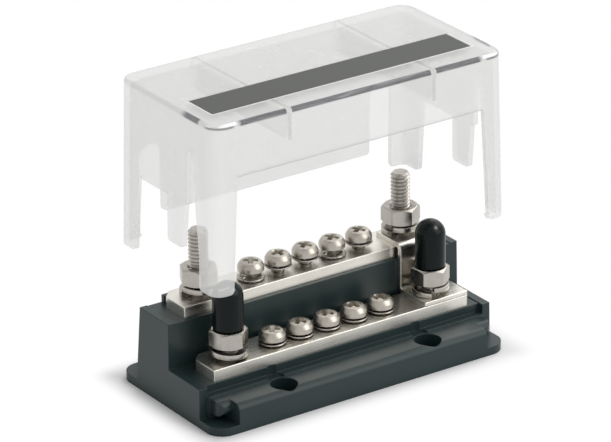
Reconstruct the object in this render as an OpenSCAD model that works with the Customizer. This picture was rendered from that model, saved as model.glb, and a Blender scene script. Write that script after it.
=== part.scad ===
// Dual stepped bus bar with a lift-off cover, in millimetres.
// Two plated bars sit on the low front deck and the high rear deck of one moulded base. A Z-bent plate
// links them at the right. The frosted cover stands on four snap legs and is drawn lifted off the base.
// X runs along the bars, Y to the back and Z up, from the middle of the base's underside.

/* [Base] */
// Length of the base
base_length = 112; // [106:1:130]
// Width of the base over its two flanges
base_width = 56.4; // [52:0.2:64]
// Thickness of the lip under the corner notches
lip_thickness = 2.8; // [2:0.1:3.6]
// Radius of the lip's corners
lip_corner = 6; // [2:0.5:7]
// Height of the front and rear flanges
flange_height = 9.4; // [8.6:0.1:9.8]
// Rounding along the top edges of the flanges
flange_rounding = 2.4; // [1:0.1:3]
// Length of a corner notch, from the end of the base
notch_length = 8.4; // [8:0.1:9]
// How far the end walls' fronts stand in front of the front bar
post_margin = 2.45; // [2:0.05:3]
// Thickness of the fence behind the rear bar
fence_thickness = 1.5; // [1:0.1:2.5]
// Draft of the rear block's back, in degrees
rear_draft = 4.5; // [3:0.1:5]
// Thickness of the end walls
end_wall = 3.1; // [2.6:0.1:3.6]
// Draft of the end walls, in degrees
end_draft = 1; // [0:0.1:1.5]
// Height of the low front deck
front_deck = 12.8; // [12.4:0.1:15]
// Rise from the front deck to the rear deck
deck_step = 15.4; // [13:0.1:18]
// Thickness of both decks
deck_thickness = 4; // [3:0.1:4.5]
// How far the end walls stand above the decks
cheek_rise = 0.25; // [0.1:0.05:0.5]
// Thickness of the hollow base's walls and ribs
base_wall = 2.4; // [1.8:0.1:2.8]
// How far the ledge along the front wall stands in front of the end walls
ledge_reach = 0.8; // [0.4:0.1:1.2]
// Height of the ledge's top
ledge_height = 10; // [9.8:0.1:11]
// How far the wall above the ledge stands back behind the end walls' fronts
wall_recess = 2; // [1.5:0.1:2.4]
// Width of the step beside the rear bar, on top of the rear block
step_ledge = 1.25; // [1:0.05:1.4]
// How far the fence behind the rear bar stays below that bar's top
fence_drop = 1.4; // [0.5:0.1:2]
// How far the fence's ends stand back from the bar's ends
fence_inset = 1.3; // [0.5:0.1:3]

/* [Mounting holes] */
// Spacing of the mounting holes along the base
hole_spacing_x = 55.3; // [50:0.1:60]
// Distance of the mounting holes from the base's long edges
hole_inset = 5.1; // [4.9:0.1:5.4]
// Diameter of the mounting holes
hole_diameter = 5.2; // [4:0.1:5.6]
// Diameter of their counterbores
counterbore_diameter = 8.8; // [8:0.1:9.2]
// Height of the counterbores' floors
counterbore_floor = 3.6; // [3:0.1:5]
// Width of the driver grooves in the front wall above the counterbores
groove_width = 5.8; // [4:0.1:7]
// Depth of those grooves into the front wall
groove_depth = 0.6; // [0.3:0.1:0.7]

/* [Bars] */
// Length of each bar
bar_length = 97.4; // [94:0.1:99]
// Width of each bar
bar_width = 13.4; // [13:0.1:13.6]
// Thickness of each bar
bar_thickness = 3.9; // [3:0.1:5]
// Chamfer of the bars' rear corners
bar_chamfer = 3; // [1:0.1:4]
// Distance of the front row of studs and screws in front of the middle
front_row = 9.05; // [8.5:0.05:9.6]
// Spacing of the two rows
row_spacing = 16.3; // [15.8:0.1:17]
// Distance of the studs from the bars' ends
stud_inset = 9.9; // [8:0.1:11]
// Spacing of the screws along a bar
screw_pitch = 10.4; // [9.6:0.1:11]
// Offset of the row of screws, to the right on the rear bar and to the left on the front bar
screw_offset = 1.55; // [0:0.05:2]
// Thickness of the link plate
link_thickness = 1.5; // [1:0.05:1.8]
// Bend radius inside the link plate
link_bend = 0.8; // [0.4:0.1:1.2]
// Reach of the link plate to the left of the studs
link_reach = 6.8; // [6.4:0.1:8]

/* [Hardware] */
// Outside diameter of the stud thread
stud_diameter = 6.35; // [6:0.05:6.4]
// Pitch diameter of the stud thread, drawn where a nut covers it
pitch_diameter = 5.52; // [5:0.02:5.8]
// Height of the studs above their bars
stud_rise = 22.1; // [20:0.1:23]
// Height of the stud bolts' hexagon heads
stud_head_height = 4.2; // [3.5:0.1:4.6]
// Width across flats of the nuts and of the stud bolts' heads
nut_flats = 11.1; // [10:0.1:11.3]
// Height of the nuts
nut_height = 5.56; // [5:0.02:6]
// Diameter of the nuts' flat end faces, inside their chamfers
nut_face = 10.5; // [9.5:0.1:11]
// Outside diameter of the spring washers
spring_washer_diameter = 12.4; // [11.5:0.1:12.6]
// Thickness of the spring washers
spring_washer_thickness = 1.7; // [1.4:0.1:1.9]
// Rise of the left spring washers over one turn
spring_washer_rise = 2.1; // [1:0.1:2.4]
// Rise of the spring washers on the link plate, which are pressed further
pressed_rise = 1.7; // [0.8:0.1:2.2]
// Angle of the gap in the spring washers
washer_split = 8; // [4:1:15]
// Outside diameter of the stud caps
cap_diameter = 9.9; // [9:0.1:10.4]
// Height of the stud caps
cap_height = 15.9; // [14:0.1:17]
// Outside diameter of the terminal screws' thread
screw_diameter = 4.16; // [4:0.02:4.2]
// Length of the terminal screws under the head
screw_length = 9.6; // [8.5:0.1:11]
// Diameter of the screw heads
head_diameter = 8.6; // [8:0.1:8.8]
// Height of the straight side of the screw heads
head_side = 1.6; // [1:0.1:2]
// Height of the rounded top of the screw heads
head_dome = 1.9; // [1.6:0.1:2.4]
// Radius of the ball that rounds the shoulders of the screw heads
shoulder_radius = 4.6; // [4.5:0.05:5.2]
// Radius of the flatter crown of the screw heads
crown_radius = 16; // [8:0.5:20]
// Gap from the rear bar up to the screw heads
rear_head_gap = 2.8; // [1.5:0.1:3]
// Gap from the front bar up to the screw heads
front_head_gap = 1.4; // [1.4:0.1:3]
// Width across the cross recess of the screws
recess_width = 4.6; // [3.5:0.1:5]
// Width of the recess's slots
recess_slot = 1.2; // [0.8:0.1:1.5]
// Outside diameter of the toothed washers
tooth_washer_diameter = 9; // [8.6:0.1:9.4]
// Thickness of the toothed washers' sheet
tooth_washer_thickness = 0.5; // [0.4:0.05:0.6]
// Overall height of the toothed washers over their twisted teeth
tooth_washer_height = 1.2; // [1:0.05:1.25]
// Width of the toothed washers' rim
tooth_rim = 1; // [0.8:0.05:1.2]
// Width of each tooth
tooth_width = 1; // [0.8:0.05:1.1]

/* [Cover] */
// Height to which the cover is lifted off its seat
cover_lift = 44; // [0:0.5:60]
// How far the cover's feet stand in from the base's ends
cover_end_inset = 0.7; // [0.5:0.1:1]
// How far the cover's feet stand in from the base's long edges
cover_side_inset = 0.8; // [0.6:0.1:1]
// Height of the cover from its feet to its roof
cover_height = 55.8; // [55:0.1:60]
// Thickness of the cover
cover_wall = 1.8; // [1.5:0.1:1.9]
// Radius of the cover's upright corners at the roof
cover_corner = 5.5; // [4.5:0.1:6]
// Radius of the cover's upright corners at its feet
foot_corner = 4; // [3:0.1:4.4]
// Rounding of the roof's edges
roof_rounding = 1.2; // [0.6:0.1:2]
// Draft of the cover's walls, in degrees
cover_draft = 0.6; // [0.3:0.1:0.7]
// Depth of the front wall, from the roof to the front opening
front_wall_depth = 17.8; // [14:0.1:20]
// Width of the cover's legs along X at their feet
leg_width = 6.9; // [6:0.1:7]
// Width of the front legs along X at the front opening
leg_width_top = 9; // [7:0.1:10]
// Width of the front legs along Y at the tops of their slots
front_leg_depth = 12.4; // [10:0.1:13]
// Width of the slots between the front legs and the end tabs
leg_slot = 2.7; // [2:0.1:4]
// Distance of those slots' tops under the roof
leg_slot_top = 11.5; // [8:0.1:14]
// How far the end tabs step back behind those slots
tab_setback = 1.6; // [0.5:0.1:2.5]
// Taper of the end tabs toward their tips
tab_taper = 1.5; // [0:0.1:2]
// Gap from the end walls up to the end tabs and to where the front legs begin to widen
tab_gap = 0.5; // [0.3:0.1:1.5]
// Rounding of the lower corners of the legs and tabs
tip_radius = 1.3; // [0.5:0.1:2]
// Width of the slots beside the rear legs
rear_slot = 8.8; // [6:0.1:10]
// Height of the rear slots above the rear flange
rear_slot_height = 24; // [15:0.5:30]
// Distance of the two inner roof ribs from the middle
rib_offset = 27; // [20:0.5:32]
// Thickness of the inner roof ribs
rib_thickness = 1.2; // [0.8:0.1:2]
// Depth of the inner roof ribs under the roof
rib_depth = 8.4; // [5:0.1:10]
// Length of the label
label_length = 96.6; // [60:0.2:98]
// Width of the label
label_width = 13; // [8:0.1:16]
// Distance of the label's middle in front of the roof's middle
label_offset = 10.4; // [5:0.1:12]
// Thickness of the label
label_thickness = 0.4; // [0.3:0.05:0.5]
// How deep the label's face lies under the roof
label_sink = 0.1; // [0.05:0.05:0.3]

/* [Catches] */
// Height of the catch nubs' undersides
nub_bottom = 4.6; // [4.5:0.1:5]
// How far the nubs' noses stand back from the base's long edges
nub_setback = 3.8; // [3.7:0.1:4.4]
// Gap between a nub and the cover leg's end part
nub_gap = 1.2; // [0.9:0.1:1.6]
// Rounding of the nubs' outer ends in plan
nub_round = 3.2; // [2:0.1:4]
// Height of the barbs on the legs
barb_height = 1.2; // [0.8:0.1:1.3]
// Width of the barbs
barb_width = 4; // [3:0.1:4.4]

/* [Fits] */
// Clearance between pieces that slide past or seat on each other
slide_gap = 0.3; // [0.3:0.05:0.4]
// Radial clearance of turning hardware on its thread
thread_gap = 0.06; // [0.03:0.01:0.08]
// Radial clearance of studs and screws in the holes they only pass through
hole_gap = 0.2; // [0.1:0.05:0.3]
// Gap between hardware faces that turn over each other
face_gap = 0.1; // [0.05:0.01:0.15]
// Clearance of the stud heads in their pockets
pocket_gap = 0.15; // [0.1:0.05:0.2]
// Clearance behind the rear bar and round the label
seat_gap = 0.25; // [0.15:0.05:0.3]

/* [Hidden] */
$fn = 64;
screw_count = 5;
tooth_count = 10;
sides = ["left", "right"];
rows = ["rear", "front"];
hand = [-1, 1];
// How far cutting shapes reach past the faces that they cut
cut = 1;
// Thickness of the slice that the cover's walls stand on
foot_slice = 0.1;
// Steps round a spring washer
washer_steps = 40;
// Angles of the spring washers' gaps and of the nuts: rear left, rear right, front left, front right
split_angle = [-182, -151, 60, -117];
nut_turn = [4, 30, -21, 35];
// Angles of the screws' cross recesses, rear row and front row
recess_turn = [[55, 5, 30, 32, 28], [55, 30, 32, 12, 10]];
// Toothed washers that have slid down their screws to the bar, rear row and front row
washer_down = [[true, false, false, true, false], [false, false, false, false, false]];

half_length = base_length / 2;
half_width = base_width / 2;
rear_deck = front_deck + deck_step;
notch_end = half_length - notch_length;
inner_half_length = half_length - end_wall;

row_y = [row_spacing - front_row, -front_row];
deck_z = [rear_deck, front_deck];
bar_top = [for (z = deck_z) z + bar_thickness];
screw_shift = [screw_offset, -screw_offset];
head_gap = [rear_head_gap, front_head_gap];
post_face = row_y[1] - bar_width / 2 - post_margin;
front_wall = post_face + wall_recess;
ledge_face = post_face - ledge_reach;
step_face = row_y[0] - bar_width / 2 - step_ledge;
fence_front = row_y[0] + bar_width / 2 + seat_gap;
rear_face = fence_front + fence_thickness;
rear_foot = rear_face + rear_deck * tan(rear_draft);
stud_x = bar_length / 2 - stud_inset;
link_left = stud_x - link_reach;
link_right = bar_length / 2;
link_face = step_face - hole_gap;

nut_corners = nut_flats / cos(30);
washer_bore = stud_diameter / 2 + hole_gap;

foot = lip_thickness + hole_gap;
roof = foot + cover_height;
tab_foot = front_deck + cheek_rise + tab_gap;
step_foot = rear_deck + cheek_rise + slide_gap;
skirt_foot = flange_height + slide_gap;
opening_top = roof - front_wall_depth;
cover_half_length = half_length - cover_end_inset;
cover_half_width = half_width - cover_side_inset;
leg_inner = cover_half_width - cover_wall;
nub_nose = half_width - nub_setback;
barb_tip = nub_nose + slide_gap;
nub_end = cover_half_length - cover_wall - nub_gap;

stud_names = [for (r = rows) for (s = sides) str(r, "_", s)];
screw_names = [for (r = rows) for (i = [1:screw_count]) str(r, "_", i)];

// Height of whatever lies between a bar and the spring washer of a stud
function lug_height(side) = side == 1 ? link_thickness : 0;
// Rise of a spring washer over its turn
function washer_rise(side) = side == 1 ? pressed_rise : spring_washer_rise;
// Height of a spring washer's foot, and of a nut's underside and top
function washer_foot(row, side) = bar_top[row] + lug_height(side);
function washer_top(row, side) = washer_foot(row, side) + spring_washer_thickness + washer_rise(side);
function nut_foot(row, side) = washer_top(row, side) + face_gap;
function nut_top(row, side) = nut_foot(row, side) + nut_height;
// Place of a terminal screw along its bar
function screw_x(row, i) = screw_shift[row] + (i - (screw_count - 1) / 2) * screw_pitch;

// Extrudes an outline drawn in Y and Z along X, centred
module along_x(length) {
    rotate([90, 0, 90])
        translate([0, 0, -length / 2])
            linear_extrude(length) children();
}

// Extrudes an outline drawn in X and Z along Y, from y0 to y1
module along_y(y0, y1) {
    translate([0, y1, 0])
        rotate([90, 0, 0])
            linear_extrude(y1 - y0) children();
}

module both_ends() {
    for (s = hand) scale_x(s) children();
}

// The same shape on the left, mirrored
module scale_x(s) {
    mirror([s < 0 ? 1 : 0, 0, 0]) children();
}

module both_sides() {
    for (s = [0, 1]) mirror([0, s, 0]) children();
}

module rounded_rectangle(length, width, radius) {
    square([length - 2 * radius, width], center = true);
    square([length, width - 2 * radius], center = true);
    for (x = hand)
        for (y = hand)
            translate([x * (length / 2 - radius), y * (width / 2 - radius)]) circle(radius);
}

// Section of a flange, from y = 0 out to its rounded edge
module flange_section(depth) {
    square([depth - flange_rounding, flange_height]);
    square([depth, flange_height - flange_rounding]);
    translate([depth - flange_rounding, flange_height - flange_rounding]) circle(flange_rounding);
}

// Half-round nose of a catch nub, from y = 0 out
module nub_section(depth) {
    nose = (flange_height - nub_bottom) / 2;
    translate([0, nub_bottom]) square([depth - nose, 2 * nose]);
    translate([depth - nose, nub_bottom + nose]) circle(nose);
}

// Catch nub beside a flange, from a wall at y = 0 out, with its outer end rounded
module nub(depth) {
    length = nub_end - notch_end;
    bend = depth - nub_round + slide_gap;
    intersection() {
        translate([notch_end + length / 2, 0, 0]) along_x(length) nub_section(depth);
        linear_extrude(flange_height) {
            translate([notch_end, 0]) square([length, bend]);
            translate([notch_end, 0]) square([length - nub_round, depth + cut]);
            translate([nub_end - nub_round, bend]) circle(nub_round);
        }
    }
}

// Stepped section of the end walls
module cheek_section() {
    polygon([
        [post_face, 0], [post_face, front_deck + cheek_rise],
        [step_face, front_deck + cheek_rise], [step_face, rear_deck + cheek_rise],
        [rear_face, rear_deck + cheek_rise], [rear_face, rear_deck], [rear_foot, 0]
    ]);
}

// Stepped section of the block between and inside the end walls
module block_section() {
    polygon([
        [front_wall, 0], [front_wall, front_deck], [step_face, front_deck],
        [step_face, rear_deck], [rear_face, rear_deck], [rear_foot, 0]
    ]);
}

module base_outside() {
    flange_length = 2 * notch_end;
    linear_extrude(lip_thickness) rounded_rectangle(base_length, base_width, lip_corner);
    along_x(base_length - end_wall) block_section();
    translate([-inner_half_length, ledge_face, 0])
        cube([2 * inner_half_length, wall_recess + ledge_reach + cut, ledge_height]);
    both_ends()
        translate([half_length - end_wall / 2, 0, 0]) along_x(end_wall) cheek_section();
    translate([0, front_wall, 0])
        mirror([0, 1, 0]) along_x(flange_length) flange_section(half_width + front_wall);
    translate([0, rear_face, 0]) along_x(flange_length) flange_section(half_width - rear_face);
    both_ends() {
        translate([0, front_wall, 0]) mirror([0, 1, 0]) nub(nub_nose + front_wall);
        translate([0, rear_face, 0]) nub(nub_nose - rear_face);
    }
    fence_length = bar_length - 2 * fence_inset;
    translate([-fence_length / 2, fence_front, rear_deck - cut])
        cube([fence_length, fence_thickness, bar_thickness - fence_drop + cut]);
}

// Room under one deck, open at the bottom, with the stud seats and cross ribs left standing
module hollow(y0, y1, ceiling) {
    seat_half = nut_corners / 2 + base_wall;
    difference() {
        translate([-inner_half_length, y0, -cut])
            cube([2 * inner_half_length, y1 - y0, ceiling + cut]);
        for (s = hand) {
            translate([s * stud_x - seat_half, y0 - cut, ceiling - stud_head_height])
                cube([2 * seat_half, y1 - y0 + 2 * cut, stud_head_height + cut]);
            translate([s * (hole_spacing_x / 2) - base_wall / 2, y0 - cut, -2 * cut])
                cube([base_wall, y1 - y0 + 2 * cut, ceiling + 3 * cut]);
        }
    }
}

module end_draft_cut() {
    reach = 2 * rear_deck;
    both_ends()
        translate([half_length, 0, 0])
            rotate([0, -end_draft, 0])
                translate([0, -base_width, -cut]) cube([end_wall, 2 * base_width, reach]);
}

module mounting_hole(x, y) {
    translate([x, y, -cut]) cylinder(d = hole_diameter, h = flange_height + 2 * cut);
    translate([x, y, counterbore_floor]) cylinder(d = counterbore_diameter, h = front_deck);
}

// Groove that lets a driver stand upright over a front mounting hole
module driver_groove(x) {
    back = front_wall + groove_depth - groove_width / 2;
    translate([x, back, flange_height]) cylinder(d = groove_width, h = front_deck);
    translate([x - groove_width / 2, -half_width + hole_inset, flange_height])
        cube([groove_width, back + half_width - hole_inset, front_deck]);
}

module base() {
    color([0.26, 0.29, 0.29])
        difference() {
            base_outside();
            end_draft_cut();
            hollow(front_wall + base_wall, step_face, front_deck - deck_thickness);
            hollow(step_face + base_wall, rear_face - base_wall, rear_deck - deck_thickness);
            for (s = hand) {
                both_sides() mounting_hole(s * hole_spacing_x / 2, half_width - hole_inset);
                driver_groove(s * hole_spacing_x / 2);
                for (r = [0, 1])
                    translate([s * stud_x, row_y[r], deck_z[r] - deck_thickness]) {
                        translate([0, 0, -cut]) cylinder(r = washer_bore, h = deck_thickness + 2 * cut);
                        translate([0, 0, -stud_head_height])
                            cylinder(d = nut_corners + 2 * pocket_gap, h = stud_head_height, $fn = 6);
                    }
            }
            for (r = [0, 1])
                for (i = [0:screw_count - 1])
                    translate([screw_x(r, i), row_y[r], deck_z[r] - deck_thickness - cut])
                        cylinder(r = screw_diameter / 2 + hole_gap, h = deck_thickness + 2 * cut);
        }
}

// One bar on its deck, with its rear corners cut off
module bar(row) {
    x = bar_length / 2;
    y = bar_width / 2;
    c = bar_chamfer;
    color([0.83, 0.82, 0.79])
        translate([0, row_y[row], deck_z[row]])
            difference() {
                linear_extrude(bar_thickness)
                    polygon([[-x, -y], [x, -y], [x, y - c], [x - c, y], [c - x, y], [-x, y - c]]);
                for (s = hand)
                    translate([s * stud_x, 0, -cut]) cylinder(r = washer_bore, h = bar_thickness + 2 * cut);
                for (i = [0:screw_count - 1])
                    translate([screw_x(row, i), 0, -cut])
                        cylinder(r = screw_diameter / 2 + thread_gap, h = bar_thickness + 2 * cut);
            }
}

module rear_bus_bar() {
    bar(0);
}

module front_bus_bar() {
    bar(1);
}

// One right-angle bend of the link plate, its inside corner at the origin and its legs toward +x and +y
module bend_section() {
    outer = link_bend + link_thickness;
    translate([link_bend, link_bend])
        intersection() {
            difference() {
                circle(outer);
                circle(link_bend);
            }
            translate([-outer, -outer]) square(outer);
        }
}

// Z-shaped section of the link plate in Y and Z
module link_section() {
    t = link_thickness;
    b = link_bend;
    web_back = link_face;
    web_front = link_face - t;
    low = bar_top[1];
    high = bar_top[0];
    front_edge = row_y[1] - bar_width / 2;
    back_edge = row_y[0] + bar_width / 2 - bar_chamfer;
    translate([front_edge, low]) square([web_front - b - front_edge, t]);
    translate([web_front, low + t + b]) square([t, high - low - t - 2 * b]);
    translate([web_back + b, high]) square([back_edge - web_back - b, t]);
    translate([web_front, low + t]) mirror([1, 0]) bend_section();
    translate([web_back, high]) mirror([0, 1]) bend_section();
}

module link_plate() {
    color([0.86, 0.85, 0.83])
        difference() {
            translate([(link_left + link_right) / 2, 0, 0])
                along_x(link_right - link_left) link_section();
            for (r = [0, 1])
                translate([stud_x, row_y[r], bar_top[r] - cut])
                    cylinder(r = washer_bore, h = link_thickness + 2 * cut);
        }
}

// Hexagon-headed bolt that stands up through a deck and its bar, its thread plain and necked inside the nut
module stud(row, side) {
    seat = deck_z[row] - deck_thickness;
    neck = nut_foot(row, side) - slide_gap;
    bare = nut_top(row, side) + slide_gap;
    top = bar_top[row] + stud_rise;
    tip = stud_diameter / 8;
    color([0.68, 0.67, 0.63])
        translate([hand[side] * stud_x, row_y[row], 0]) {
            translate([0, 0, seat - stud_head_height])
                cylinder(d = nut_corners, h = stud_head_height, $fn = 6);
            translate([0, 0, seat]) cylinder(d = stud_diameter, h = neck - seat);
            translate([0, 0, neck]) cylinder(d = pitch_diameter, h = bare - neck);
            translate([0, 0, bare]) cylinder(d = stud_diameter, h = top - tip - bare);
            translate([0, 0, top - tip])
                cylinder(d1 = stud_diameter, d2 = stud_diameter - 2 * tip, h = tip);
        }
}

// Split washer that climbs once round its stud, drawn as it is before it is tightened
module spring_washer(row, side) {
    start = split_angle[2 * row + side] + washer_split / 2;
    sweep = (360 - washer_split) / washer_steps;
    section = [
        [washer_bore, 0], [spring_washer_diameter / 2, 0],
        [spring_washer_diameter / 2, spring_washer_thickness], [washer_bore, spring_washer_thickness]
    ];
    points = [
        for (i = [0:washer_steps])
            let (a = start + i * sweep, z = washer_rise(side) * (1 - i / washer_steps))
                for (p = section) [p[0] * cos(a), p[0] * sin(a), p[1] + z]
    ];
    walls = [
        for (i = [0:washer_steps - 1])
            for (k = [0:3])
                let (a = 4 * i + k, b = 4 * i + (k + 1) % 4)
                    for (f = [[a, b, b + 4], [a, b + 4, a + 4]]) f
    ];
    last = 4 * washer_steps;
    ends = [[3, 2, 1, 0], [last, last + 1, last + 2, last + 3]];
    color([0.72, 0.71, 0.68])
        translate([hand[side] * stud_x, row_y[row], washer_foot(row, side)])
            polyhedron(points, concat(walls, ends));
}

module nut(row, side) {
    r = nut_corners / 2;
    face = nut_face / 2;
    bevel = (r - face) * tan(30);
    profile = [
        [0, 0], [face, 0], [r, bevel], [r, nut_height - bevel], [face, nut_height], [0, nut_height]
    ];
    color([0.74, 0.73, 0.7])
        translate([hand[side] * stud_x, row_y[row], nut_foot(row, side)])
            rotate([0, 0, nut_turn[2 * row + side]])
                difference() {
                    intersection() {
                        cylinder(r = r, h = nut_height, $fn = 6);
                        rotate_extrude() polygon(profile);
                    }
                    translate([0, 0, -cut])
                        cylinder(d = pitch_diameter + 2 * thread_gap, h = nut_height + 2 * cut);
                }
}

// Soft cap with a round top, standing on a front stud's nut
module stud_cap(side) {
    r = cap_diameter / 2;
    foot_z = nut_top(1, side) + face_gap;
    bore = bar_top[1] + stud_rise - foot_z + slide_gap;
    color([0.06, 0.06, 0.06])
        translate([hand[side] * stud_x, row_y[1], foot_z])
            difference() {
                union() {
                    cylinder(r = r, h = cap_height - r);
                    translate([0, 0, cap_height - r]) sphere(r);
                }
                translate([0, 0, -cut]) cylinder(d = stud_diameter + 2 * thread_gap, h = bore + cut);
            }
}

// Pan-head terminal screw with a cross recess
module screw(row, i) {
    r = head_diameter / 2;
    head_height = head_side + head_dome;
    shoulder = head_side - sqrt(shoulder_radius * shoulder_radius - r * r);
    slot = [recess_width, recess_slot, head_height];
    tip = screw_diameter / 8;
    color([0.76, 0.75, 0.72])
        translate([screw_x(row, i), row_y[row], bar_top[row] + head_gap[row]]) {
            difference() {
                intersection() {
                    cylinder(r = r, h = head_height);
                    translate([0, 0, shoulder]) sphere(shoulder_radius);
                    translate([0, 0, head_height - crown_radius]) sphere(crown_radius);
                }
                for (a = [0, 90])
                    rotate([0, 0, recess_turn[row][i] + a])
                        translate([-slot[0] / 2, -slot[1] / 2, head_side])
                            cube(slot);
            }
            translate([0, 0, tip - screw_length]) cylinder(d = screw_diameter, h = screw_length - tip);
            translate([0, 0, -screw_length])
                cylinder(d1 = screw_diameter - 2 * tip, d2 = screw_diameter, h = tip);
        }
}

// Lock washer with twisted teeth inside its rim, kept on the screw under its head or slid down to the bar
module tooth_washer(row, i) {
    outer = tooth_washer_diameter / 2;
    rim = outer - tooth_rim;
    inner = screw_diameter / 2 + hole_gap;
    t = tooth_washer_thickness;
    tooth = [rim - inner + tooth_rim / 2, tooth_width, t];
    twist = asin((tooth_washer_height - t) / tooth_width);
    lift = washer_down[row][i] ? face_gap : head_gap[row] - face_gap - tooth_washer_height;
    middle = bar_top[row] + lift + tooth_washer_height / 2;
    color([0.66, 0.65, 0.62])
        translate([screw_x(row, i), row_y[row], middle]) {
            difference() {
                translate([0, 0, -t / 2]) cylinder(r = outer, h = t);
                translate([0, 0, -cut]) cylinder(r = rim, h = 2 * cut);
            }
            for (k = [0:tooth_count - 1])
                rotate([0, 0, k * 360 / tooth_count])
                    translate([inner, 0, 0])
                        rotate([twist, 0, 0])
                            translate([0, -tooth_width / 2, -t / 2]) cube(tooth);
        }
}

// Box with drafted walls and rounded edges, standing on the cover's feet and shrunk by a wall all round
module drafted_box(wall) {
    x = cover_half_length - wall;
    y = cover_half_width - wall;
    height = cover_height - wall;
    inset = cover_height * tan(cover_draft);
    low = foot_corner - wall;
    high = cover_corner - wall;
    hull()
        for (i = hand)
            for (j = hand) {
                translate([i * (x - low), j * (y - low), 0]) cylinder(r = low, h = foot_slice, $fn = 32);
                translate([i * (x - inset - high), j * (y - inset - high), height - roof_rounding])
                    rotate_extrude($fn = 32)
                        translate([high - roof_rounding, 0]) circle(roof_rounding, $fn = 24);
            }
}

// An opening in a wall that stands on y = 0, with the lower corners of what is left beside it rounded
module soft_opening() {
    reach = 2 * base_length;
    difference() {
        translate([-reach / 2, -cut]) square(reach);
        offset(r = tip_radius, $fn = 24)
            offset(delta = -tip_radius)
                difference() {
                    translate([-reach, 0]) square(2 * reach);
                    children();
                }
    }
}

// What is cut out of the front wall between the two front legs, in X and Z
module front_opening_outline() {
    low = cover_half_length - leg_width;
    high = cover_half_length - leg_width_top;
    top = opening_top - foot;
    polygon([[-low, -cut], [low, -cut], [low, 0], [high, top], [-high, top], [-low, 0]]);
}

// What is cut out of the rear wall: a gap over the flange and a slot beside each leg, in X and Z
module rear_opening_outline() {
    leg = cover_half_length - leg_width;
    slot_top = skirt_foot - foot + rear_slot_height;
    translate([-leg, -cut]) square([2 * leg, skirt_foot - foot + cut]);
    for (s = hand)
        translate([s * (leg - rear_slot / 2), 0]) {
            translate([-rear_slot / 2, -cut]) square([rear_slot, slot_top - rear_slot / 2 + cut]);
            translate([0, slot_top - rear_slot / 2]) circle(rear_slot / 2);
        }
}

// What is cut out of an end wall: the step over the rear block, the tab's end and the leg slot, in Y and Z
module end_opening_outline() {
    leg = front_leg_depth - cover_half_width;
    slot = leg + leg_slot;
    slot_top = roof - leg_slot_top - foot;
    tab = tab_foot - foot;
    step = step_foot - foot;
    front = post_face - slide_gap;
    tab_front = slot + tab_setback;
    tab_back = step_face - slide_gap;
    back_low = rear_foot + slide_gap;
    back_high = rear_face + slide_gap;
    polygon([
        [front, -cut], [back_low, -cut], [back_low, 0], [back_high, step], [tab_back, step],
        [tab_back, tab], [tab_front + tab_taper, tab], [tab_front, step],
        [slot, step], [slot, slot_top - leg_slot / 2],
        [leg, slot_top - leg_slot / 2], [front, tab]
    ]);
    translate([leg + leg_slot / 2, slot_top - leg_slot / 2]) circle(leg_slot / 2);
}

// Snap barb inside a leg, with a lead-in below and a flat catch on top, drawn sprung clear of the nub
module barb() {
    root = leg_inner + cover_wall / 2;
    top = nub_bottom - hole_gap - foot;
    translate([cover_half_length - leg_width, 0, 0])
        translate([barb_width / 2, 0, 0])
            along_x(barb_width)
                polygon([
                    [root, top - barb_height], [leg_inner, top - barb_height],
                    [barb_tip, top - barb_height / 3], [barb_tip, top], [root, top]
                ]);
}

// Two ribs across the cover's inside, under its roof
module roof_ribs() {
    low = cover_height - cover_wall - rib_depth;
    for (s = hand)
        translate([s * rib_offset - rib_thickness / 2, -base_width / 2, low])
            cube([rib_thickness, base_width, cover_height]);
}

module cover() {
    thick = 3 * cover_wall;
    color([0.88, 0.88, 0.87, 0.6])
        translate([0, 0, foot + cover_lift]) {
            difference() {
                drafted_box(0);
                difference() {
                    translate([0, 0, -foot_slice / 2]) drafted_box(cover_wall);
                    roof_ribs();
                }
                along_y(-half_width, thick - cover_half_width) soft_opening() front_opening_outline();
                along_y(cover_half_width - thick, half_width) soft_opening() rear_opening_outline();
                both_ends()
                    translate([cover_half_length, 0, 0])
                        along_x(2 * thick) soft_opening() end_opening_outline();
                translate([0, -label_offset, cover_height - label_thickness - label_sink])
                    linear_extrude(cover_wall)
                        square([label_length + 2 * seat_gap, label_width + 2 * seat_gap], center = true);
            }
            both_ends() both_sides() barb();
        }
}

module cover_label() {
    color([0.4, 0.41, 0.39])
        translate([0, -label_offset, roof + cover_lift - label_thickness - label_sink])
            linear_extrude(label_thickness) square([label_length, label_width], center = true);
}

base();
rear_bus_bar();
front_bus_bar();
link_plate();
cover();
cover_label();
for (s = [0, 1])
    stud_cap(s);
for (r = [0, 1])
    for (s = [0, 1]) {
        place = str(rows[r], "_", sides[s]);
        stud(r, s);
        spring_washer(r, s);
        nut(r, s);
    }
for (r = [0, 1])
    for (i = [0:screw_count - 1]) {
        place = str(rows[r], "_", i + 1);
        screw(r, i);
        tooth_washer(r, i);
    }
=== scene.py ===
"""A stepped two-bar bus bar with its frosted cover lifted off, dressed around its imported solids.

Lengths are in metres, in the frame of the solids: X along the bars, Y to the back and Z up. Angles are
written in degrees.
"""
import math

import bmesh
import bpy
from mathutils import Matrix, Vector


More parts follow.
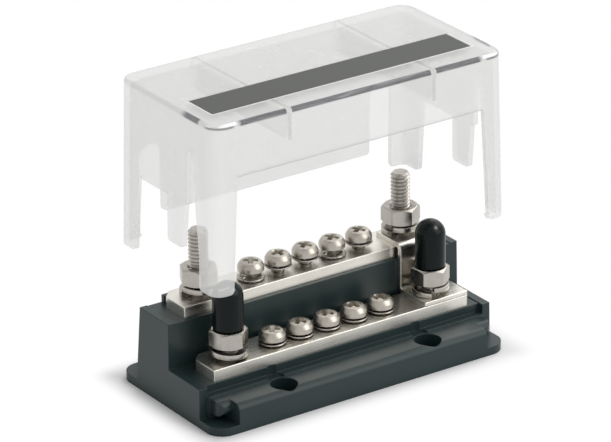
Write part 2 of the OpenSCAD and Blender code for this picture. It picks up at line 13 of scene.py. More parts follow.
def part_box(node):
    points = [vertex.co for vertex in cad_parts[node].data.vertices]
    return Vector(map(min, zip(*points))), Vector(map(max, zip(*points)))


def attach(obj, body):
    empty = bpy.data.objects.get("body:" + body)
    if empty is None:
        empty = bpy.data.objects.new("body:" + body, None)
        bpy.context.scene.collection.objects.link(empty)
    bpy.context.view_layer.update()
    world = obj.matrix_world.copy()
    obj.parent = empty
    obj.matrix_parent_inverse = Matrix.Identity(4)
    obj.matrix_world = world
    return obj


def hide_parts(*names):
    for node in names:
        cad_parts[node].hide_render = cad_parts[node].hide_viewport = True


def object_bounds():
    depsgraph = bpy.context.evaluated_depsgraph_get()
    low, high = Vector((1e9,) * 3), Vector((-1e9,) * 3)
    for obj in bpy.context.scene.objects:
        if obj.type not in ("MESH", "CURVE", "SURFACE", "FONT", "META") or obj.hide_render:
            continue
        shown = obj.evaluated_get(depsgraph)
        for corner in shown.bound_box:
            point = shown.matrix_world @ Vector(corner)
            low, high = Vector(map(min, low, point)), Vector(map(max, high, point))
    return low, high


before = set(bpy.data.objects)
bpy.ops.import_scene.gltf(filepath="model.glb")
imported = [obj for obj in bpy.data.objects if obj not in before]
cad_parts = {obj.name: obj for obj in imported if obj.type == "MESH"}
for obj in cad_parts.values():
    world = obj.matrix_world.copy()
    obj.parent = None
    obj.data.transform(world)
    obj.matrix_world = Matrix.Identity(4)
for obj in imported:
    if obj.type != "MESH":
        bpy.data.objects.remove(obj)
solids_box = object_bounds()

# Base
# One injection moulding in dark glass-filled nylon, with a satin skin and soft moulded edges. Its low
# front deck and high rear deck carry the bars, and panel screws go through the counterbored holes in its
# flanges.
mm = 0.001
weld = 0.001 * mm
flat_turn = 0.5
edge_samples = 6
base_crease = 28
base_dark = (0.013, 0.026, 0.027, 1)
base_pale = (0.021, 0.039, 0.040, 1)
base_rough = (0.3, 0.46)
base_grain = 3200
base_cloud = 45
grain_depth = 0.03 * mm
grain_strength = 0.3
moulded_edge = 0.45 * mm


class Shade:
    """A socket of a material. Sums and products add Math nodes, and node() adds a node of any type."""

    def __init__(self, tree, socket=None):
        self.tree = tree
        self.socket = socket

    def node(self, kind, settings=None, sockets=None, out=0):
        """Adds a node, makes its settings, then sets or links its sockets, and gives one output."""
        made = self.tree.nodes.new(kind)
        for name, value in (settings or {}).items():
            setattr(made, name, value)
        for name, value in (sockets or {}).items():
            self.plug(made.inputs[name], value)
        return Shade(self.tree, made.outputs[out])

    def plug(self, socket, value):
        """Links a shade to a socket, or sets the socket to a plain value."""
        if isinstance(value, Shade):
            self.tree.links.new(value.socket, socket)
        else:
            socket.default_value = value

    def math(self, operation, first, second):
        return self.node("ShaderNodeMath", {"operation": operation}, {0: first, 1: second})

    def most(self, first, *others):
        """The greatest of some values."""
        for other in others:
            first = self.math("MAXIMUM", first, other)
        return first

    def between(self, factor, ends):
        """A value between two values."""
        return ends[0] + (ends[1] - ends[0]) * factor

    def mix(self, factor, first, second):
        """A colour between two colours."""
        return self.node("ShaderNodeMix", {"data_type": "RGBA"}, {0: factor, 6: first, 7: second}, out=2)

    def ramp(self, value, low, high):
        """A smooth step of a value, from 0 at low to 1 at high."""
        return self.node("ShaderNodeMapRange", {"interpolation_type": "SMOOTHSTEP"},
                         {"Value": value, "From Min": low, "From Max": high})

    def place(self):
        """The place of a point on the piece, in the frame of the solids."""
        return self.node("ShaderNodeTexCoord", out="Object")

    def axis(self, side):
        """One of the three numbers of a place."""
        return self.node("ShaderNodeSeparateXYZ", sockets={0: self}, out=side)

    def noise(self, place, scale, detail):
        """Soft noise from 0 to 1, finer with a greater scale."""
        return self.node("ShaderNodeTexNoise", sockets={"Vector": place, "Scale": scale, "Detail": detail})

    def soft_edge(self, radius):
        """The normal of the surface with its edges rounded to a radius."""
        return self.node("ShaderNodeBevel", {"samples": edge_samples}, {"Radius": radius})

    def __abs__(self):
        return self.math("ABSOLUTE", self, 0)

    def __add__(self, other):
        return self.math("ADD", self, other)

    def __sub__(self, other):
        return self.math("SUBTRACT", self, other)

    def __mul__(self, other):
        return self.math("MULTIPLY", self, other)

    def __rsub__(self, other):
        return self.math("SUBTRACT", other, self)

    __radd__ = __add__
    __rmul__ = __mul__


def new_finish(name, constants, varying):
    """A material with one Principled shader. varying() gives the sockets that change over the surface."""
    finish = bpy.data.materials.new(name)
    finish.use_nodes = True
    shader = finish.node_tree.nodes["Principled BSDF"]
    start = Shade(finish.node_tree)
    for socket, value in {**constants, **varying(start)}.items():
        start.plug(shader.inputs[socket], value)
    return finish


def add_piece(name, mesh, finishes, body, node):
    """Makes a mesh a piece that moves with a body and stands for one of its solids."""
    mesh.materials.clear()
    for finish in finishes:
        mesh.materials.append(finish)
    piece = bpy.data.objects.new(name, mesh)
    bpy.context.scene.collection.objects.link(piece)
    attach(piece, body)
    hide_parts(node)
    return piece


def mesh_of(bm, name):
    """A mesh from a bmesh, which is used up."""
    mesh = bpy.data.meshes.new(name)
    bm.to_mesh(mesh)
    bm.free()
    return mesh


def smooth_below(mesh, degrees):
    """Shades a mesh smooth, apart from edges that turn by more than an angle."""
    mesh.shade_smooth()
    mesh.set_sharp_from_angle(angle=math.radians(degrees))
    return mesh


def merged_copy(node, name, degrees):
    """A solid's mesh with its loose triangles joined and its stored normals dropped, to shade smoothly."""
    bm = bmesh.new()
    bm.from_mesh(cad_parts[node].data)
    bmesh.ops.remove_doubles(bm, verts=bm.verts, dist=weld)
    bmesh.ops.dissolve_limit(bm, angle_limit=math.radians(flat_turn), verts=bm.verts, edges=bm.edges)
    mesh = mesh_of(bm, name)
    mesh.attributes.remove(mesh.attributes["custom_normal"])
    return smooth_below(mesh, degrees)


def shade_evenly(piece):
    """Lets a piece's large faces lead the shading of the small ones beside them."""
    piece.modifiers.new("even_shading", "WEIGHTED_NORMAL").keep_sharp = True


def base_skin(skin):
    """Satin nylon: a fine grain, faint clouds in the colour and softened edges."""
    place = skin.place()
    grain = skin.noise(place, base_grain, 2)
    cloud = skin.noise(place, base_cloud, 4)
    relief = skin.node("ShaderNodeBump", sockets={
        "Strength": grain_strength, "Distance": grain_depth, "Height": grain,
        "Normal": skin.soft_edge(moulded_edge)})
    return {"Base Color": skin.mix(cloud, base_dark, base_pale),
            "Roughness": skin.between(grain, base_rough),
            "Normal": relief}


base_plastic = new_finish("base_plastic", {"IOR": 1.5, "Specular IOR Level": 0.35}, base_skin)
base = add_piece("moulded_base", merged_copy("base", "moulded_base", base_crease), [base_plastic],
                 "base", "base")
shade_evenly(base)

# Bus bars
# Two copper alloy bars, sawn from drawn strip with two corners cut off, tapped for the terminal screws and
# tin plated. They lie on the decks and are held by the studs.
rows = ("rear", "front")
tin_warm = (0.68, 0.65, 0.585, 1)
tin_pale = (0.85, 0.83, 0.775, 1)
tin_rough = (0.2, 0.4)
tin_bloom = 140
draw_lines = (60, 2600, 2600)
draw_depth = 0.02 * mm
draw_strength = 0.25
sawn_edge = 0.5 * mm


def tin_plate(skin):
    """Bright tin with the draw lines of the strip along X and a faint warm bloom."""
    place = skin.place()
    drawn = skin.node("ShaderNodeMapping", sockets={"Vector": place, "Scale": draw_lines})
    lines = skin.noise(drawn, 1, 3)
    bloom = skin.noise(place, tin_bloom, 3)
    relief = skin.node("ShaderNodeBump", sockets={
        "Strength": draw_strength, "Distance": draw_depth, "Height": lines,
        "Normal": skin.soft_edge(sawn_edge)})
    return {"Base Color": skin.mix(bloom, tin_warm, tin_pale),
            "Roughness": skin.between(lines, tin_rough),
            "Normal": relief}


def finish_solid(node, finish):
    """Gives its finish to a solid that is shown as it is."""
    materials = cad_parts[node].data.materials
    materials.clear()
    materials.append(finish)


plated_bar = new_finish("plated_bar", {"Metallic": 1.0}, tin_plate)
for row in rows:
    finish_solid(f"{row}_bus_bar", plated_bar)

# Link plate
# A strip of tinned copper sheet, bent to a Z. It joins the two bars at the right, and both right-hand nuts
# clamp it down.
link_crease = 28
link_sheet = new_finish("link_sheet", {"Metallic": 1.0}, tin_plate)
link = add_piece("bent_link", merged_copy("link_plate", "bent_link", link_crease), [link_sheet],
                 "base", "link_plate")
shade_evenly(link)

# Studs
# Four quarter-inch stainless hexagon bolts with rolled threads. They are pushed up from below, so that
# their heads sit in pockets under the decks and their threads stand up through the bars.
places = [f"{row}_{side}" for row in rows for side in ("left", "right")]
stud_radius = 3.175 * mm
stud_pitch = 1.27 * mm
stud_point = stud_radius / 4
stud_head = 4.2 * mm
stud_crease = 35
thread_steps = 32
thread_depth = 0.54
thread_crest = 1 / 8
thread_root = 1 / 4
cut_reach = 0.0001 * mm
rim_reach = 0.01 * mm
steel_dark = (0.36, 0.34, 0.31, 1)
rolled_pale = (0.62, 0.59, 0.545, 1)
rolled_rough = (0.3, 0.46)
rolled_haze = 700


def rolled_steel(skin):
    """The dull skin of a rolled thread."""
    haze = skin.noise(skin.place(), rolled_haze, 3)
    return {"Base Color": skin.mix(haze, steel_dark, rolled_pale),
            "Roughness": skin.between(haze, rolled_rough)}


def foot_of(node):
    """The middle of the underside of a solid's box."""
    low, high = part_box(node)
    return Vector(((low.x + high.x) / 2, (low.y + high.y) / 2, low.z))


def thread(bm, radius, pitch, foot, top, tip):
    """Adds a right-hand thread round Z, closed at both ends and pointed over the length of its tip.

    One turn's outline, with its flats as shares of the pitch, is spun past both ends and cut off there.
    """
    core = radius - thread_depth * pitch
    outline = [(core, 0), (core, thread_root / 2), (radius, (1 - thread_crest) / 2),
               (radius, (1 + thread_crest) / 2), (core, 1 - thread_root / 2), (core, 1)]
    turns = math.ceil((top - foot) / pitch) + 2
    line = [bm.verts.new((r, 0, foot + (share - 1) * pitch)) for r, share in outline]
    edges = [bm.edges.new(pair) for pair in zip(line, line[1:])]
    bmesh.ops.spin(bm, geom=line + edges, cent=(0, 0, 0), axis=(0, 0, 1), angle=turns * math.tau,
                   dvec=(0, 0, pitch / thread_steps), steps=turns * thread_steps)
    bmesh.ops.remove_doubles(bm, verts=bm.verts, dist=weld)
    for height, side in ((foot, "clear_inner"), (top, "clear_outer")):
        bmesh.ops.bisect_plane(bm, geom=bm.verts[:] + bm.edges[:] + bm.faces[:], plane_co=(0, 0, height),
                               plane_no=(0, 0, 1), dist=cut_reach, **{side: True})
        rim = [e for e in bm.edges
               if e.is_boundary and all(abs(v.co.z - height) < rim_reach for v in e.verts)]
        bmesh.ops.edgeloop_fill(bm, edges=rim)
    for v in bm.verts:
        most = radius - max(0, v.co.z - (top - tip))
        v.co.xy *= min(1, most / v.co.xy.length)
    bmesh.ops.recalc_face_normals(bm, faces=bm.faces)


def hexagon(bm, corner, height, middle):
    """Adds a hexagonal block round Z, with two of its corners along X, at the height of its middle."""
    block = bmesh.ops.create_cone(bm, cap_ends=True, segments=6, radius1=corner, radius2=corner,
                                  depth=height)["verts"]
    bmesh.ops.rotate(bm, verts=block, matrix=Matrix.Rotation(math.tau / 12, 3, "Z"))
    bmesh.ops.translate(bm, verts=block, vec=(0, 0, middle))


def copy_at(mesh, name, place, turn=0):
    """A copy of a mesh, turned about Z by some degrees and moved to a place."""
    copy = mesh.copy()
    copy.name = name
    copy.transform(Matrix.Translation(place) @ Matrix.Rotation(math.radians(turn), 4, "Z"))
    return copy


stud_steel = new_finish("stud_steel", {"Metallic": 1.0}, rolled_steel)
low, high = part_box("stud_rear_left")
bm = bmesh.new()
thread(bm, stud_radius, stud_pitch, stud_head, high.z - low.z, stud_point)
hexagon(bm, (high.x - low.x) / 2, stud_head, stud_head / 2)
stud_mesh = smooth_below(mesh_of(bm, "stud"), stud_crease)
for place in places:
    name = f"threaded_stud_{place}"
    add_piece(name, copy_at(stud_mesh, name, foot_of(f"stud_{place}")), [stud_steel],
              "base", f"stud_{place}")

# Spring washers
# Split washers of square stainless wire, coiled so that one end stands above the other. They lie on the
# bars or on the link plate, under the nuts.
wire_thickness = 1.7 * mm
wire_bore = 3.375 * mm
wire_outer = 6.2 * mm
wire_edge = 0.15 * mm
wire_crease = 40
split_width = 8
split_angle = {"rear_left": -182, "rear_right": -151, "front_left": 60, "front_right": -117}
coil_steps = 96
steel_pale = (0.52, 0.495, 0.455, 1)
steel_rough = (0.18, 0.38)
steel_haze = 380
steel_edge = 0.12 * mm


def steel(skin):
    """Bright stainless with a slight haze and a warm cast."""
    haze = skin.noise(skin.place(), steel_haze, 4)
    return {"Base Color": skin.mix(haze, steel_dark, steel_pale),
            "Roughness": skin.between(haze, steel_rough),
            "Normal": skin.soft_edge(steel_edge)}


washer_steel = new_finish("washer_steel", {"Metallic": 1.0}, steel)
for place in places:
    node = f"spring_washer_{place}"
    low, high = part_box(node)
    rise = high.z - low.z - wire_thickness
    crest = rise + wire_thickness
    bm = bmesh.new()
    bm.faces.new([bm.verts.new((r, 0, z)) for r, z in (
        (wire_bore, rise), (wire_outer, rise), (wire_outer, crest), (wire_bore, crest))])
    bmesh.ops.bevel(bm, geom=bm.verts, offset=wire_edge, offset_type="OFFSET", segments=2, profile=0.5,
                    affect="VERTICES", material=-1)
    start = math.radians(split_angle[place] + split_width / 2)
    bmesh.ops.rotate(bm, verts=bm.verts, matrix=Matrix.Rotation(start, 3, "Z"))
    bmesh.ops.spin(bm, geom=bm.verts[:] + bm.edges[:] + bm.faces[:], cent=(0, 0, 0), axis=(0, 0, 1),
                   angle=math.radians(360 - split_width), dvec=(0, 0, -rise / coil_steps),
                   steps=coil_steps)
    bmesh.ops.recalc_face_normals(bm, faces=bm.faces)
    stud_foot = foot_of(f"stud_{place}")
    bmesh.ops.translate(bm, verts=bm.verts, vec=(stud_foot.x, stud_foot.y, low.z))
    name = f"split_washer_{place}"
    add_piece(name, smooth_below(mesh_of(bm, name), wire_crease), [washer_steel],
              "base", node)

# Nuts
# Stainless hexagon nuts, cut from bar with both ends turned to a thirty-degree chamfer and the bore's
# mouths opened out. They are run down the studs onto the washers.
nut_flats = 11.1 * mm
nut_face = 10.5 * mm
nut_chamfer = 30
nut_turn = {"rear_left": 4, "rear_right": 30, "front_left": -21, "front_right": 35}
nut_corner_edge = 0.2 * mm
nut_crease = 25
bore_radius = 3.2 * mm
bore_mouth = 3.75 * mm
lathe_steps = 96


def lathe(outline, name):
    """A closed turned shape from points of radius and height, from axis to axis or round a ring."""
    bm = bmesh.new()
    line = [bm.verts.new((r, 0, z)) for r, z in outline]
    edges = [bm.edges.new(pair) for pair in zip(line, line[1:])]
    if outline[0][0] > 0:
        edges.append(bm.edges.new((line[-1], line[0])))
    bmesh.ops.spin(bm, geom=line + edges, cent=(0, 0, 0), axis=(0, 0, 1), angle=math.tau,
                   steps=lathe_steps, use_merge=True)
    bmesh.ops.remove_doubles(bm, verts=bm.verts, dist=weld)
    bmesh.ops.recalc_face_normals(bm, faces=bm.faces)
    return mesh_of(bm, name)


def combined(mesh, tool, operation):
    """The mesh of one closed shape after another is cut from it or laid over it."""
    shape, cutter = (bpy.data.objects.new("in_work", m) for m in (mesh, tool))
    for thing in (shape, cutter):
        bpy.context.scene.collection.objects.link(thing)
    step = shape.modifiers.new("combine", "BOOLEAN")
    step.operation = operation
    step.solver = "EXACT"
    step.object = cutter
    made = bpy.data.meshes.new_from_object(shape.evaluated_get(bpy.context.evaluated_depsgraph_get()))
    for thing in (shape, cutter):
        bpy.data.objects.remove(thing)
    return made


low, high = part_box("nut_rear_left")
nut_height = high.z - low.z
# The block is longer than the nut, so that none of its faces lies on an end of the turned shape.
block_height = 2 * nut_height
corner = nut_flats / math.sqrt(3)
fall = (corner - nut_face / 2) * math.tan(math.radians(nut_chamfer))
bm = bmesh.new()
hexagon(bm, corner, block_height, nut_height / 2)
upright = [e for e in bm.edges if abs(e.verts[0].co.z - e.verts[1].co.z) > nut_height / 2]
bmesh.ops.bevel(bm, geom=upright, offset=nut_corner_edge, offset_type="OFFSET", segments=2, profile=0.5,
                affect="EDGES", material=-1)
nut_block = mesh_of(bm, "nut_block")
nut_ends = lathe([(0, 0), (nut_face / 2, 0), (corner, fall), (corner, nut_height - fall),
                  (nut_face / 2, nut_height), (0, nut_height)], "nut_ends")
mouth = bore_mouth - bore_radius
nut_bore = lathe([(0, -mouth), (bore_mouth + mouth, -mouth), (bore_radius, mouth),
                  (bore_radius, nut_height - mouth), (bore_mouth + mouth, nut_height + mouth),
                  (0, nut_height + mouth)], "nut_bore")
hardware_steel = new_finish("hardware_steel", {"Metallic": 1.0}, steel)
nut_mesh = combined(combined(nut_block, nut_ends, "INTERSECT"), nut_bore, "DIFFERENCE")
smooth_below(nut_mesh, nut_crease)
for place in places:
    node = f"nut_{place}"
    name = f"hex_{node}"
    add_piece(name, copy_at(nut_mesh, name, foot_of(node), nut_turn[place]), [hardware_steel],
              node, node)

# Terminal screws
# Ten nickel-plated pan-head screws with punched cross recesses, tapped into the bars and left standing a
# little proud, ready for the lugs of wires.
screw_radius = 2.08 * mm
screw_pitch = 0.794 * mm
screw_length = 9.6 * mm
screw_crease = 32
head_side = 1.6 * mm
head_edge = 0.25 * mm
shoulder_radius = 4.6 * mm
crown_radius = 16 * mm
crown_steps = 14
recess_width = 5.2 * mm
recess_slot = 1.7 * mm
recess_depth = 2.2 * mm
recess_above = 0.22 * mm
recess_taper = 0.55
recess_skin = 0.1 * mm
recess_turn = {"rear": (55, 5, 30, 32, 28), "front": (55, 30, 32, 12, 10)}
nickel_dark = (0.35, 0.325, 0.285, 1)
nickel_pale = (0.58, 0.545, 0.485, 1)
nickel_rough = (0.24, 0.44)
nickel_cloud = 520
# The recess colours are painted shade, far darker than the plate.
recess_shade_dark = (0.03, 0.019, 0.013, 1)
recess_shade_pale = (0.15, 0.10, 0.068, 1)
recess_rough = (0.4, 0.6)
recess_cloud = 900


def nickel(skin):
    """Warm nickel plate, a little cloudy."""
    cloud = skin.noise(skin.place(), nickel_cloud, 4)
    return {"Base Color": skin.mix(cloud, nickel_dark, nickel_pale),
            "Roughness": skin.between(cloud, nickel_rough)}


def shaded_recess_skin(skin):
    """The driver's recess, painted dark brown as the shade in its hollow."""
    cloud = skin.noise(skin.place(), recess_cloud, 3)
    return {"Base Color": skin.mix(cloud, recess_shade_dark, recess_shade_pale),
            "Roughness": skin.between(cloud, recess_rough)}


low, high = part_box("screw_rear_1")
head_radius = (high.x - low.x) / 2
screw_top = high.z - low.z
shoulder = screw_length + head_side - math.sqrt(shoulder_radius ** 2 - head_radius ** 2)


def head_top(r):
    """The height of a screw head's rounded top at a radius."""
    return min(shoulder + math.sqrt(shoulder_radius ** 2 - r ** 2),
               screw_top - crown_radius + math.sqrt(crown_radius ** 2 - r ** 2))


ring_radii = [head_radius * math.cos(math.pi / 2 * k / crown_steps) for k in range(crown_steps)]
head = lathe([(0, screw_length), (head_radius - head_edge, screw_length),
              (head_radius, screw_length + head_edge),
              *((r, head_top(r)) for r in ring_radii), (0, screw_top)], "screw_head")
for turn in (0, 90):
    bm = bmesh.new()
    bmesh.ops.create_cube(bm, size=1)
    for v in bm.verts:
        share, height = (1, recess_above) if v.co.z > 0 else (recess_taper, -recess_depth)
        v.co = (v.co.x * recess_width * share, v.co.y * recess_slot * share, screw_top + height)
    bmesh.ops.rotate(bm, verts=bm.verts, matrix=Matrix.Rotation(math.radians(turn), 3, "Z"))
    head = combined(head, mesh_of(bm, "recess_wing"), "DIFFERENCE")
# Faces sunk into the recess take the second finish, which is painted shade.
for face in head.polygons:
    off_axis = face.center.xy.length
    sunk = head_top(min(off_axis, head_radius)) - face.center.z
    on_top = face.center.z > screw_length + head_side / 2
    face.material_index = int(on_top and sunk > recess_skin and off_axis < recess_width / 2)
bm = bmesh.new()
thread(bm, screw_radius, screw_pitch, 0, screw_length + head_edge, 0)
bm.from_mesh(head)
screw_mesh = smooth_below(mesh_of(bm, "screw"), screw_crease)
terminal_nickel = new_finish("terminal_nickel", {"Metallic": 1.0}, nickel)
recess_painted_shade = new_finish("recess_painted_shade", {"Metallic": 1.0}, shaded_recess_skin)
for row in rows:
    for i, turn in enumerate(recess_turn[row]):
        node = f"screw_{row}_{i + 1}"
        name = f"pan_{node}"
        add_piece(name, copy_at(screw_mesh, name, foot_of(node), turn), [terminal_nickel, recess_painted_shade],
                  node, node)

# Toothed washers
# Stamped spring steel rings with ten teeth twisted out of their plane, kept on the screws under the heads.
# Two of them have slid down to the bar.
rim_width = 1 * mm
sheet = 0.5 * mm
sheet_edge = 0.1 * mm
bore_play = 0.2 * mm
tooth_count = 10
tooth_width = 1 * mm
tooth_steps = 4
tooth_crease = 35
low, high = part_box("tooth_washer_rear_1")
outer = (high.x - low.x) / 2
rim = outer - rim_width
inner = screw_radius + bore_play
twist = math.asin((high.z - low.z - sheet) / tooth_width)
rim_mesh = lathe([(rim, -sheet / 2), (outer - sheet_edge, -sheet / 2), (outer, sheet_edge - sheet / 2),
                  (outer, sheet / 2 - sheet_edge), (outer - sheet_edge, sheet / 2), (rim, sheet / 2)],
                 "washer_rim")
bm = bmesh.new()
end = bm.faces.new([bm.verts.new((inner, side * tooth_width / 2, up * sheet / 2))
                    for side, up in ((-1, -1), (1, -1), (1, 1), (-1, 1))])
bmesh.ops.rotate(bm, verts=end.verts, matrix=Matrix.Rotation(twist, 3, "X"))
for k in range(tooth_steps):
    grown = bmesh.ops.extrude_face_region(bm, geom=[end])["geom"]
    end = next(f for f in grown if isinstance(f, bmesh.types.BMFace))
    bmesh.ops.rotate(bm, verts=end.verts, matrix=Matrix.Rotation(-twist / tooth_steps, 3, "X"))
    bmesh.ops.translate(bm, verts=end.verts, vec=((rim + rim_width / 2 - inner) / tooth_steps, 0, 0))
bmesh.ops.recalc_face_normals(bm, faces=bm.faces)
bmesh.ops.spin(bm, geom=bm.verts[:] + bm.edges[:] + bm.faces[:], cent=(0, 0, 0), axis=(0, 0, 1),
               angle=math.tau * (tooth_count - 1) / tooth_count, steps=tooth_count - 1, use_duplicate=True)
bm.from_mesh(rim_mesh)
bmesh.ops.translate(bm, verts=bm.verts, vec=(0, 0, (high.z - low.z) / 2))
washer_mesh = smooth_below(mesh_of(bm, "tooth_washer"), tooth_crease)
for row in rows:
    for i in range(len(recess_turn[row])):
        node = f"tooth_washer_{row}_{i + 1}"
        name = f"stamped_{node}"
        add_piece(name, copy_at(washer_mesh, name, foot_of(node)), [washer_steel],
                  f"screw_{row}_{i + 1}", node)

# Stud caps
# Soft black vinyl caps, dip moulded with a round top. They are pushed over the two front studs down to
# their nuts.
vinyl_black = (0.002, 0.005, 0.005, 1)
vinyl_grey = (0.004, 0.008, 0.008, 1)
vinyl_rough = (0.2, 0.28)
vinyl_peel = 900
peel_depth = 0.03 * mm
peel_strength = 0.05
cap_bore = 3.235 * mm
cap_lip = 0.5 * mm
cap_roof = 2.9 * mm
cap_steps = 16
cap_crease = 40


def vinyl(skin):
    """Half-gloss vinyl with a faint orange-peel skin."""
    peel = skin.noise(skin.place(), vinyl_peel, 2)
    relief = skin.node("ShaderNodeBump", sockets={
        "Strength": peel_strength, "Distance": peel_depth, "Height": peel})
    return {"Base Color": skin.mix(peel, vinyl_black, vinyl_grey),
            "Roughness": skin.between(peel, vinyl_rough),
            "Normal": relief}


cap_vinyl = new_finish("cap_vinyl", {"IOR": 1.52, "Specular IOR Level": 0.16}, vinyl)
caps = []
for side in ("left", "right"):
    node = f"stud_cap_{side}"
    name = f"vinyl_cap_{side}"
    low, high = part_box(node)
    top = high.z - low.z
    radius = (high.x - low.x) / 2
    crown = [(radius * math.cos(a), top - radius + radius * math.sin(a))
             for a in (math.pi / 2 * k / cap_steps for k in range(cap_steps))]
    mesh = lathe([(0, top - cap_roof), (cap_bore, top - cap_roof), (cap_bore, cap_lip),
                  (cap_bore + cap_lip, 0), (radius - cap_lip, 0), (radius, cap_lip),
                  *crown, (0, top)], name)
    mesh.transform(Matrix.Translation(foot_of(node)))
    smooth_below(mesh, cap_crease)
    caps.append(add_piece(name, mesh, [cap_vinyl], f"cap_{side}", node))

# Cover
# One thin injection moulding in frosted clear plastic. It stands on four clip legs over the whole base,
# and is shown lifted off. Two ribs run across under its roof.
frost_tone = (0.72, 0.72, 0.71, 1)
# The tones of the painted lines: dark reflections, grey shade over the ribs and pale highlights.
dark_reflection_tone = (0.06, 0.058, 0.07, 1)
rib_shade_tone = (0.46, 0.46, 0.455, 1)
highlight_tone = (0.97, 0.97, 0.97, 1)
frost_rough = (0.2, 0.32)
frost_alpha = (0.4, 0.44)
line_alpha = 0.42
frost_scale = 120
streak_scale = (90, 900, 900)
cover_crease = 30
rib_place = 27 * mm
rib_half = 0.6 * mm
front_wall_depth = 17.8 * mm
leg_place = 45.8 * mm
# Each pair gives the places where a painted line begins to show and where it is full.
roof_edge = (1.8 * mm, 1.2 * mm)
wall_edge = (2.04 * mm, 1.56 * mm)
front_line_end = (46.5 * mm, 44 * mm)
front_line_weight = (0.55, 1.45)
end_line_front = (8 * mm, 9.5 * mm)
end_line_back = (-8 * mm, -12 * mm)
end_line_weight = (0.2, 0.95)
corner_line_low = (1.8 * mm, 1.32 * mm)
corner_line_high = (0.6 * mm, 0.96 * mm)
corner_line_end = (46 * mm, 48 * mm)
corner_line_front = (7 * mm, 4 * mm)
corner_line_weight = 0.85
# Where painted highlights show on the front corners and round the label:
corner_glint_height = (0.9 * mm, 0.66 * mm)
corner_glint_end = (45 * mm, 47 * mm)
corner_glint_front = (6 * mm, 3.5 * mm)
corner_glint_width = (2 * mm, 1.2 * mm)
label_glint_inner = (0.15 * mm, 0.35 * mm)
label_glint_outer = (1 * mm, 0.75 * mm)
label_glint_depth = (0.3 * mm, 0.2 * mm)
label_glint_back = 1 * mm
label_glint_weight = 0.7
# Where painted shade shows along the front wall's lower edge and over the ribs:
hem_high = (-0.5 * mm, 0)
hem_low = (0.4 * mm, 0.1 * mm)
hem_end = 0.5 * mm
rib_side = (1.4 * rib_half, 0.6 * rib_half)
rib_height = (10.4 * mm, 10 * mm)


def frosted(skin):
    """Frosted clear plastic, with painted lines: dark reflections, pale highlights and grey shade where it
    is thick or bent.
    """
    low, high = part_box("cover")
    label_low, label_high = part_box("cover_label")
    place = skin.place()
    x, y, z = (place.axis(side) for side in "XYZ")
    along = abs(x)
    from_end = high.x - along
    from_front = y - low.y
    below = high.z - z
    off_rib = abs(along - rib_place)
    frost = skin.noise(place, frost_scale, 3)
    drawn = skin.node("ShaderNodeMapping", sockets={"Vector": place, "Scale": streak_scale})
    streak = skin.noise(drawn, 1, 3)

    # Painted reflections: dark lines follow the roof's edge along the front, at the ends and round the
    # front corners.
    front = skin.ramp(from_front, *wall_edge)
    front_line = (front * skin.ramp(along, *front_line_end) * skin.ramp(off_rib, rib_half, 2 * rib_half)
                  * skin.between(streak, front_line_weight))
    near = skin.ramp(y, *end_line_back) * skin.ramp(from_front, *end_line_front)
    end_line = skin.ramp(from_end, *wall_edge) * skin.between(near, end_line_weight)
    corner_line = (skin.ramp(below, *corner_line_low) * skin.ramp(below, *corner_line_high)
                   * skin.ramp(along, *corner_line_end) * skin.ramp(from_front, *corner_line_front))
    edge_line = skin.ramp(below, *roof_edge) * skin.most(front_line, end_line)
    painted_reflection = skin.math("MINIMUM", skin.most(edge_line, corner_line_weight * corner_line), 1)

    # Painted highlights: pale lines shine on the front corners and round the label.
    corner_glint = (skin.ramp(below, *corner_glint_height) * skin.ramp(along, *corner_glint_end)
            * skin.ramp(from_front, *corner_glint_front)
            * skin.most(skin.ramp(from_front, *corner_glint_width), skin.ramp(from_end, *corner_glint_width)))
    off_label = skin.most(along - label_high.x, label_low.y - y, y - label_high.y)
    label_glint = (skin.ramp(off_label, *label_glint_inner) * skin.ramp(off_label, *label_glint_outer)
                  * skin.ramp(below, *label_glint_depth)
                  * skin.ramp(y, label_high.y, label_high.y - label_glint_back))
    # The painted highlights taken together.
    clear = skin.most(corner_glint, label_glint_weight * label_glint)

    # Painted shade: grey lines show over the ribs and along the lower edge of the front wall.
    below_wall = below - front_wall_depth
    hem_shade = (skin.ramp(below_wall, *hem_high) * skin.ramp(below_wall, *hem_low) * front
           * skin.ramp(along, leg_place + hem_end, leg_place))
    rib_shade = skin.ramp(off_rib, *rib_side) * skin.ramp(below, *rib_height)
    veil = skin.mix(skin.most(rib_shade, hem_shade), frost_tone, rib_shade_tone)
    return {"Base Color": skin.mix(painted_reflection, skin.mix(clear, veil, highlight_tone), dark_reflection_tone),
            "Roughness": skin.between(frost, frost_rough),
            "Alpha": skin.between(frost, frost_alpha) + line_alpha * skin.most(painted_reflection, clear)}


cover_clear = new_finish("cover_clear", {"IOR": 1.49, "Specular IOR Level": 0.25}, frosted)
cover = add_piece("frosted_cover", merged_copy("cover", "frosted_cover", cover_crease), [cover_clear],
                  "cover", "cover")
shade_evenly(cover)
cover.visible_shadow = False
cover.visible_diffuse = False

# Label
# A strip of plain grey printed film, glued into a shallow recess in the cover's roof. It goes wherever the
# cover goes.
film_grey = (0.088, 0.093, 0.085, 1)
film_pale = (0.106, 0.111, 0.101, 1)
film_rough = (0.4, 0.55)
film_grain = 1500


def film(skin):
    """Plain grey print with a faint grain."""
    grain = skin.noise(skin.place(), film_grain, 2)
    return {"Base Color": skin.mix(grain, film_grey, film_pale),
            "Roughness": skin.between(grain, film_rough)}


finish_solid("cover_label", new_finish("label", {"Specular IOR Level": 0.2}, film))

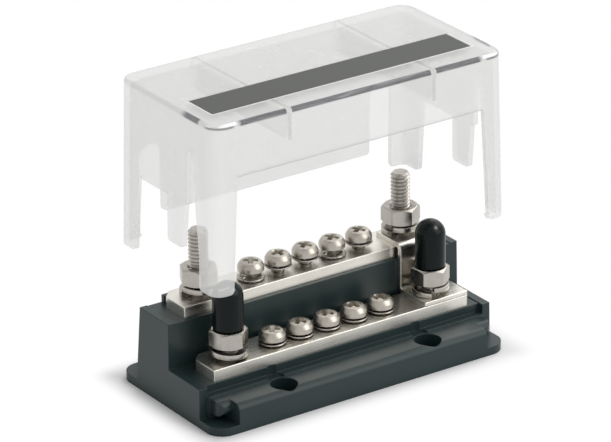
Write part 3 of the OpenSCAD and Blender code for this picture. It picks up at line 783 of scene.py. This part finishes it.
# Floor
# A plain white sweep of paper that the base stands on. It keeps the object's shadow close by and fades to
# plain white further out.
floor_size = 12
floor_gap = 0.05 * mm
floor_tone = (0.9, 0.9, 0.9, 1)
shadow_reach = (-1.5 * mm, 9.5 * mm)
bm = bmesh.new()
bmesh.ops.create_grid(bm, x_segments=1, y_segments=1, size=floor_size / 2)
floor_mesh = mesh_of(bm, "floor")
floor = bpy.data.objects.new("floor", floor_mesh)
floor.location.z = solids_box[0].z - floor_gap
bpy.context.scene.collection.objects.link(floor)
floor_paint = bpy.data.materials.new("floor")
floor_paint.use_nodes = True
floor_mesh.materials.append(floor_paint)
tree = floor_paint.node_tree
paint = Shade(tree)
tree.nodes.remove(tree.nodes["Principled BSDF"])
seen = paint.most(*(paint.node("ShaderNodeLightPath", out=f"Is {ray} Ray")
                    for ray in ("Camera", "Glossy", "Transmission")))
spot = paint.place()
foot_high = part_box("base")[1]
beyond = [paint.most(abs(spot.axis(side)) - reach, 0)
          for side, reach in (("X", foot_high.x), ("Y", foot_high.y))]
distance = paint.math("SQRT", beyond[0] * beyond[0] + beyond[1] * beyond[1], 0)
far = seen * paint.ramp(distance, *shadow_reach)
matt = paint.node("ShaderNodeBsdfDiffuse", sockets={"Color": floor_tone})
white = paint.node("ShaderNodeEmission", sockets={"Strength": 1})
sweep = paint.node("ShaderNodeMixShader", sockets={0: far, 1: matt, 2: white})
paint.plug(tree.nodes["Material Output"].inputs["Surface"], sweep)

# Light and camera
# A white studio with an even sky and two large soft lamps, high at the back right and at the front right.
# A lamp at the front left lights the cover alone, and a small one gives the caps alone their highlight.
# The camera looks down on the front left with a long lens.
sky_level = 0.45
mirror_level = 0.9
world = bpy.data.worlds.new("studio")
bpy.context.scene.world = world
world.use_nodes = True
sky = Shade(world.node_tree)
camera_ray, clear_ray, mirror_ray = (sky.node("ShaderNodeLightPath", out=f"Is {ray} Ray")
                                     for ray in ("Camera", "Transmission", "Glossy"))
backdrop = world.node_tree.nodes["Background"]
backdrop.inputs["Color"].default_value = (1, 1, 1, 1)
sky.plug(backdrop.inputs["Strength"], sky_level + (1 - sky_level) * sky.most(camera_ray, clear_ray)
         + (mirror_level - sky_level) * mirror_ray)
lamp_aim = Vector((0, 0, 40 * mm))


def softbox(name, place, size, watts, mirrored):
    """A square lamp aimed at the middle of the object, which shiny surfaces may mirror or not."""
    lamp = bpy.data.lights.new(name, "AREA")
    lamp.size = size
    lamp.energy = watts
    stand = bpy.data.objects.new(name, lamp)
    stand.location = place
    stand.rotation_euler = (lamp_aim - Vector(place)).to_track_quat("-Z", "Y").to_euler()
    stand.visible_glossy = mirrored
    bpy.context.scene.collection.objects.link(stand)
    return stand


softbox("key_lamp", place=(0.85, 0.3, 1.05), size=1.3, watts=9, mirrored=True)
softbox("front_lamp", place=(0.75, -0.95, 0.75), size=1.0, watts=7, mirrored=True)
cover_lamp = softbox("cover_lamp", place=(-1.05, -0.65, 0.3), size=0.5, watts=6.3, mirrored=False)
cap_lamp = softbox("cap_lamp", place=(0.6, -0.68, 1.1), size=0.35, watts=20, mirrored=True)
cap_lamp.visible_diffuse = False
for lamp, lit in ((cover_lamp, [cover]), (cap_lamp, caps)):
    lamp.light_linking.receiver_collection = bpy.data.collections.new(f"lit_by_{lamp.name}")
    for piece in lit:
        lamp.light_linking.receiver_collection.objects.link(piece)

view_turn = math.radians(34.418)
view_pitch = math.radians(23.613)
view_roll = math.radians(-0.498)
view_lens = 257.97
view_sensor = 36
view_distance = 1397.5 * mm
view_shift = (-2.981 * mm, 45.196 * mm)
view_clip = (0.05, 50)
back = Vector((-math.sin(view_turn) * math.cos(view_pitch), -math.cos(view_turn) * math.cos(view_pitch),
               math.sin(view_pitch)))
level = Vector((math.cos(view_turn), -math.sin(view_turn), 0))
upright = back.cross(level)
right = math.cos(view_roll) * level + math.sin(view_roll) * upright
up = math.cos(view_roll) * upright - math.sin(view_roll) * level
camera = bpy.data.objects.new("camera", bpy.data.cameras.new("camera"))
camera.data.lens = view_lens
camera.data.sensor_width = view_sensor
camera.data.clip_start, camera.data.clip_end = view_clip
turned = Matrix((right, up, back)).transposed().to_4x4()
turned.translation = view_shift[0] * right + view_shift[1] * up + view_distance * back
camera.matrix_world = turned
bpy.context.scene.collection.objects.link(camera)
bpy.context.scene.camera = camera
bpy.context.scene.view_settings.view_transform = "Standard"
